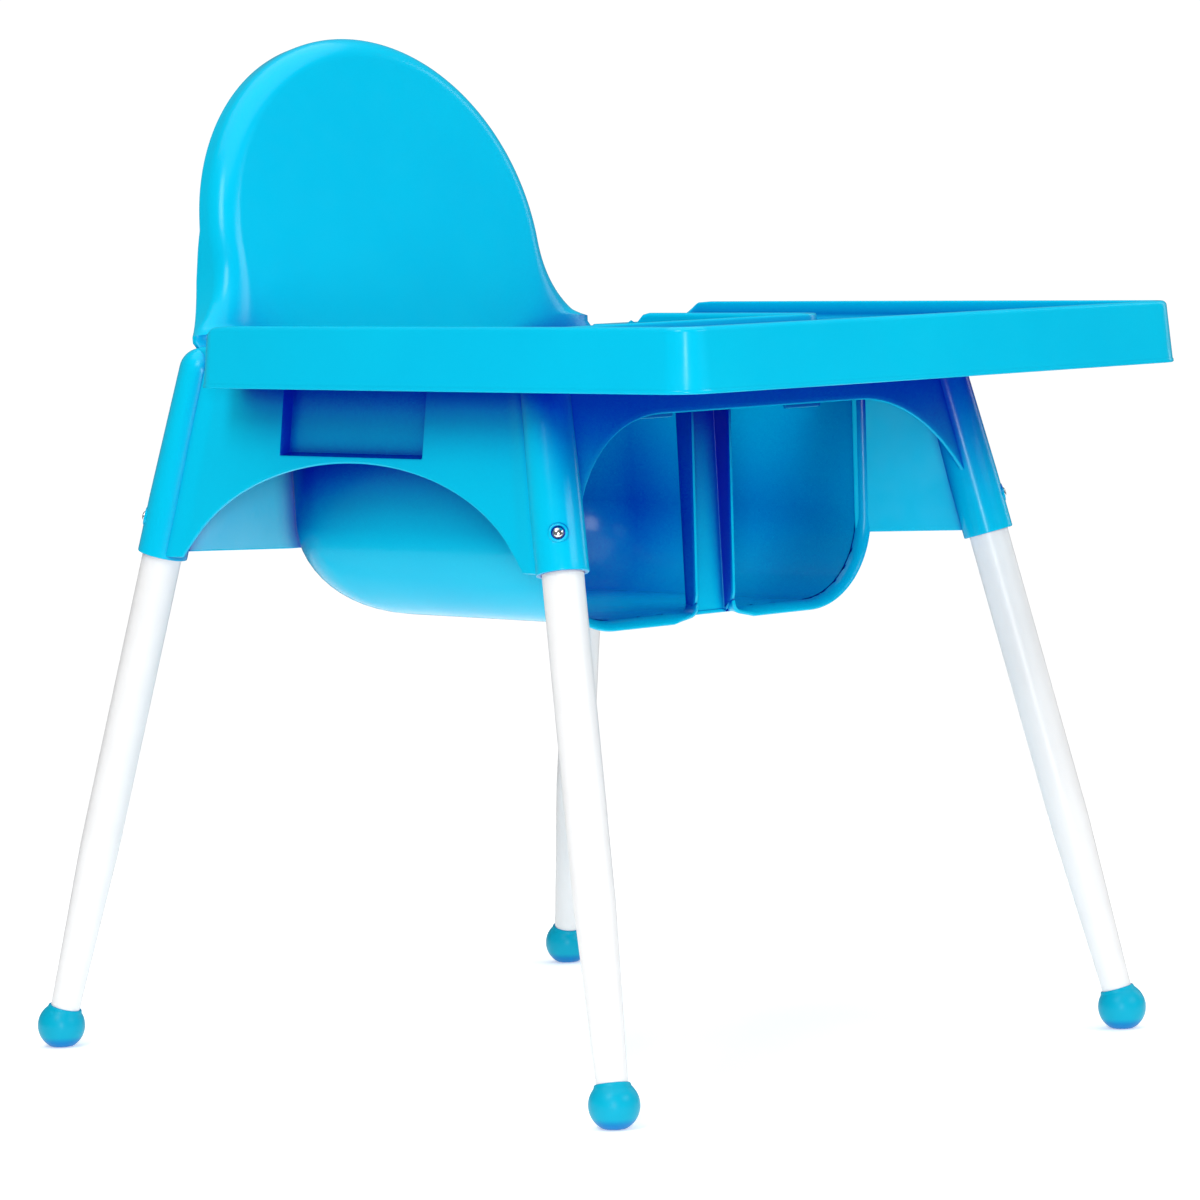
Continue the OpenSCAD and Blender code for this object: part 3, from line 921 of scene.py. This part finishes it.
def make_foot(name, mats):
    """A ball with a flat under it, and a collar that grips the tube."""
    turns = leg_matrix(*CORNERS[name])
    profile = [(0.05, -FOOT_R)]
    profile += [(FOOT_R * math.cos(t), FOOT_R * math.sin(t))
                for t in np.radians(np.linspace(-86, 42, 30))]
    bore, collar_top, tube_end = TUBE_END_R + TUBE_PLAY, 13.9, -3.5
    profile += [(12.3, 12.2), (12.0, 13.4), (11.4, collar_top), (bore, collar_top),
                (bore, tube_end), (0.05, tube_end)]
    sheet = Sheet().grid(revolve(profile, turns), closed=True).join()
    for v in sheet.bm.verts:
        v.co.z = max(v.co.z, 0.0)
    bmesh.ops.recalc_face_normals(sheet.bm, faces=sheet.bm.faces)
    return sheet.piece(f"{name}_ball_foot", mats["foot_plastic"], 60)


# ---- Tray ----

TRAY_DRAFT = 4.0
TRAY_BOW = 2.0
TRAY_LIP = 0.5
TRAY_WALL = 2.8
TRAY_FRONT_R = 24.0
TRAY_REAR_R = 18.0
TRAY_FLOOR = 503.3
TRAY_UNDER = DECK + 0.3
NOTCH_X = 138.0
NOTCH_FRONT = -110.0
NOTCH_R = 18.0
NOTCH_END_R = 8.0
NOTCH_RIM = 511.5
NOTCH_RIM_END = 72.0
RIM_END_RUN = 26.0


def line(x0, y0, x1, y1, n):
    """The inner points of a straight line that has n points with its ends."""
    return np.stack([np.linspace(x0, x1, n), np.linspace(y0, y1, n)], -1)[1:-1]


def tray_outline():
    """The tray's outline, from the notch's rear right corner round the outside and back through the
    notch, with each point's outward normal, and its kind: 1 outside, 0 in the notch, 0.5 between."""
    side_x, nose = TRAY_X - TRAY_BOW, -TRAY_FRONT + TRAY_BOW
    fr, rr, jr, nr = TRAY_FRONT_R, TRAY_REAR_R, NOTCH_END_R, NOTCH_R
    t = np.linspace(0, 1, 40)
    bow = TRAY_BOW * 4 * t * (1 - t)
    y_side = nose + fr + (TRAY_REAR - rr - nose - fr) * t
    x_nose = (fr - side_x) + 2 * (side_x - fr) * t
    right = np.stack([side_x + bow, y_side], -1)
    front = np.stack([x_nose, nose - bow], -1)
    parts = [
        (arc(NOTCH_X + jr, TRAY_REAR - jr, jr, jr, 180, 90, 6), 0.5),
        (line(NOTCH_X + jr, TRAY_REAR, side_x - rr, TRAY_REAR, 16), 1),
        (arc(side_x - rr, TRAY_REAR - rr, rr, rr, 90, 0, 14), 1),
        (right[::-1][1:-1], 1),
        (arc(side_x - fr, nose + fr, fr, fr, 360, 270, 16), 1),
        (front[::-1][1:-1], 1),
        (arc(fr - side_x, nose + fr, fr, fr, 270, 180, 16), 1),
        ((right * (-1, 1))[1:-1], 1),
        (arc(rr - side_x, TRAY_REAR - rr, rr, rr, 180, 90, 14), 1),
        (line(rr - side_x, TRAY_REAR, -NOTCH_X - jr, TRAY_REAR, 16), 1),
        (arc(-NOTCH_X - jr, TRAY_REAR - jr, jr, jr, 90, 0, 6), 0.5),
        (line(-NOTCH_X, TRAY_REAR - jr, -NOTCH_X, NOTCH_FRONT + nr, 40), 0),
        (arc(-NOTCH_X + nr, NOTCH_FRONT + nr, nr, nr, 180, 270, 10), 0),
        (line(-NOTCH_X + nr, NOTCH_FRONT, NOTCH_X - nr, NOTCH_FRONT, 40), 0),
        (arc(NOTCH_X - nr, NOTCH_FRONT + nr, nr, nr, 270, 360, 10), 0),
        (line(NOTCH_X, NOTCH_FRONT + nr, NOTCH_X, TRAY_REAR - jr, 40), 0),
    ]
    points = np.vstack([p for p, _ in parts])
    kind = np.concatenate([np.full(len(p), k) for p, k in parts])
    ahead = np.roll(points, -1, 0) - np.roll(points, 1, 0)
    ahead /= np.linalg.norm(ahead, axis=1, keepdims=True)
    normal = np.stack([-ahead[:, 1], ahead[:, 0]], -1)
    return points, normal, kind


def rim_height(points, kind):
    """Height of the rim's top at each station: it sinks to the floor towards the rear."""
    back = np.clip((points[:, 1] - (TRAY_REAR - RIM_END_RUN)) / RIM_END_RUN, 0, 1)
    outer = TRAY_FLOOR + (TRAY_TOP - TRAY_FLOOR) * np.sqrt(1 - back**2)
    run = np.clip((points[:, 1] - (NOTCH_RIM_END - 11)) / 11, 0, 1)
    notch = TRAY_FLOOR + (NOTCH_RIM - TRAY_FLOOR) * np.sqrt(1 - run**2)
    return np.where(kind == 1, outer, notch)


def lower_edge(points, kind):
    """Height of the free edge: low outside, and just above the armrests where they pass under."""
    over = soft_step(skirt_x(TRAY_BOTTOM) + 4 - np.abs(points[:, 0]), 3.0)
    rear = points[:, 1] > TRAY_REAR - 9
    outer = TRAY_BOTTOM + (TRAY_UNDER - TRAY_BOTTOM) * np.where(rear, over, 0)
    return np.where(kind == 1, outer, TRAY_UNDER)


def tray_rows():
    """The tray from its free lower edge up the wall, over the rim and down to its floor."""
    points, normal, kind = tray_outline()
    top, low = rim_height(points, kind), lower_edge(points, kind)
    rise = top - TRAY_FLOOR
    full = np.clip(rise / (NOTCH_RIM - TRAY_FLOOR), 0, 1)
    draft = np.where(kind == 1, TRAY_DRAFT, 0.6) / (TRAY_TOP - TRAY_BOTTOM)
    edge = np.minimum(3.2, 1.2 + 0.5 * rise)
    lip = TRAY_LIP * (kind == 1)

    def row(inset, z):
        xy = points - normal * (inset + lip * (z > low + 1.5) + draft * (z - low))[:, None]
        return np.column_stack([xy, z])

    rows = [row(0 * top, low), row(0 * top, low + 1.1)]
    for t in (0, 0.25, 0.5, 0.75, 1):
        rows.append(row(0 * top, low + 1.9 + (top - edge - low - 1.9) * t))
    for t in np.radians(np.linspace(0, 90, 7))[1:]:
        rows.append(row(edge * (1 - math.cos(t)), top - edge * (1 - math.sin(t))))
    crest = np.where(kind == 1, 2.6, 2.2) * full
    rows.append(row(edge + crest, top))
    inner = np.minimum(1.6, 0.45 * rise)
    for t in np.radians(np.linspace(0, 90, 5))[1:]:
        rows.append(row(edge + crest + inner * math.sin(t), top - inner * (1 - math.cos(t))))
    foot = np.minimum(4.0, 0.5 * rise)
    wall_foot = edge + crest + inner + 0.5 * full
    rows.append(row(wall_foot, TRAY_FLOOR + foot))
    for t in np.radians(np.linspace(0, 90, 6))[1:]:
        rows.append(row(wall_foot + foot * (1 - math.cos(t)), TRAY_FLOOR + foot * (1 - math.sin(t))))
    rows.append(row(edge + crest + inner + 0.5 + foot + 3, np.full(len(top), TRAY_FLOOR)))
    return rows


def make_tray(mats):
    rows = tray_rows()
    sheet = Sheet().grid(rows, closed=True)
    sheet.fill(rows[-1])
    sheet.join(0.005).face_towards((0, -250, TRAY_FLOOR), (0, 0, 1)).thicken(TRAY_WALL)
    return sheet.piece("tray_moulding", mats["short_shade_plastic"])


def make_tongues(mats):
    """Catches under the tray: two drop behind the front skirt, two into the side recesses."""
    pieces = []
    side_x, wall, top = skirt_x(DECK) - 1.5, 2.6, DECK + 0.8
    for name, sx in (("left", -1), ("right", 1)):
        xs = np.linspace(55, 92, 12) * sx
        grid = []
        for z in np.linspace(448.8, top, 10):
            narrow = 2.5 * np.clip((452 - z) / 4, 0, 1) ** 2
            x = np.mean(xs) + (xs - np.mean(xs)) * (1 - narrow / 18.5)
            grid.append(np.stack([x, np.full(12, -155.5), np.full(12, z)], -1))
        sheet = Sheet().grid(grid).face_towards(grid[0][0], (0, -1, 0)).thicken(wall)
        pieces.append(sheet.piece(f"tray_front_catch_{name}", mats["blue_plastic"]))
        grid = []
        for z in np.linspace(475.5, top, 6):
            grid.append(np.stack([np.full(14, side_x * sx), np.linspace(-29, 29, 14), np.full(14, z)], -1))
        sheet = Sheet().grid(grid).face_towards(grid[0][0], (sx, 0, 0)).thicken(wall)
        pieces.append(sheet.piece(f"tray_side_catch_{name}", mats["blue_plastic"]))
    return pieces


def belong(piece, body, slot, *nodes):
    """Puts a piece in a body and hides the CAD nodes that it replaces. The slot argument is not used."""
    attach(piece, body)
    if nodes:
        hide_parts(*nodes)


def build(mats):
    belong(make_seat(mats), "frame", "blue_plastic", "seat_bucket", "seat_rim")
    belong(make_backrest(mats), "frame", "blue_plastic", "seat_backrest")
    belong(make_post(mats), "frame", "blue_plastic")
    for piece in make_gussets(mats):
        belong(piece, "frame", "blue_plastic")
    for name in CORNERS:
        belong(make_socket(name, mats), "frame", "blue_plastic")
        belong(make_boss(name, mats), "frame", "blue_plastic")
        belong(make_foot(name, mats), "frame", "foot_plastic", f"{name}_foot")
    belong(make_tray(mats), "tray", "blue_plastic", "tray")
    for piece in make_tongues(mats):
        belong(piece, "tray", "blue_plastic")


def main():
    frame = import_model()
    mats = make_materials()
    for part in frame["record"]["subparts"]:
        frame["nodes"][part["node"]].data.materials.clear()
        frame["nodes"][part["node"]].data.materials.append(mats[part["material_slot"]])
    place_camera()
    light_studio()
    lay_floor(mats["floor"])
    build(mats)


main()
